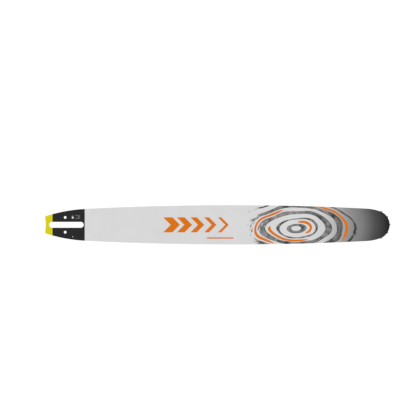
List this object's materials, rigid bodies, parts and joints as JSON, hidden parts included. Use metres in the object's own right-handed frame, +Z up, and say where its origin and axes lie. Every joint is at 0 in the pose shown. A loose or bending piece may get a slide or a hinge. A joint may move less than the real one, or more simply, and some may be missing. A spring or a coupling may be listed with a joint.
{
  "type": "chainsaw guide bar",
  "caption": "Flat laminated chainsaw guide bar with a slotted painted tail, a chain groove along both edges and a toothed sprocket running on rollers in its rounded nose.",
  "frame": {"origin": "middle of the stud slot, on the lower clamping face", "axes": "+X along the bar from the tail to the nose, +Z up through the plies, +Y to the picture's upper rail"},
  "size_m": [0.7085, 0.0806, 0.0048],
  "materials": {
    "painted_plate": "satin light grey paint, with a black tail, a yellow tail end, a print that darkens towards the nose, and bare ground rails",
    "core_steel": "rolled sheet",
    "sprocket_steel": "hardened and blackened",
    "bearing_steel": "ground and polished",
    "rivet_steel": "ground flush and painted over with the plates"
  },
  "bodies": {
    "bar": {"upper_side_plate": "painted_plate", "core_plate": "core_steel", "lower_side_plate": "painted_plate", "sprocket_hub": "bearing_steel", "hub_rivets": "rivet_steel"},
    "sprocket": {"nose_sprocket": "sprocket_steel"},
    "roller_ring": {"needle_roller_01": "bearing_steel", "needle_roller_02": "bearing_steel", "needle_roller_03": "bearing_steel", "needle_roller_04": "bearing_steel", "needle_roller_05": "bearing_steel", "needle_roller_06": "bearing_steel", "needle_roller_07": "bearing_steel", "needle_roller_08": "bearing_steel", "needle_roller_09": "bearing_steel", "needle_roller_10": "bearing_steel", "needle_roller_11": "bearing_steel", "needle_roller_12": "bearing_steel", "needle_roller_13": "bearing_steel", "needle_roller_14": "bearing_steel", "needle_roller_15": "bearing_steel", "needle_roller_16": "bearing_steel", "needle_roller_17": "bearing_steel", "needle_roller_18": "bearing_steel", "needle_roller_19": "bearing_steel", "needle_roller_20": "bearing_steel"}
  },
  "joints": [
    {"name": "sprocket_spin", "type": "hinge", "parent": "bar", "child": "sprocket", "pos_m": [0.6335, 0, 0.0024], "axis": [0, 0, 1], "continuous": true},
    {"name": "roller_travel", "type": "hinge", "parent": "bar", "child": "roller_ring", "pos_m": [0.6335, 0, 0.0024], "axis": [0, 0, 1], "continuous": true}
  ],
  "couplings": [
    {"joint": "roller_travel", "follows": "sprocket_spin", "ratio": 0.57591}
  ]
}
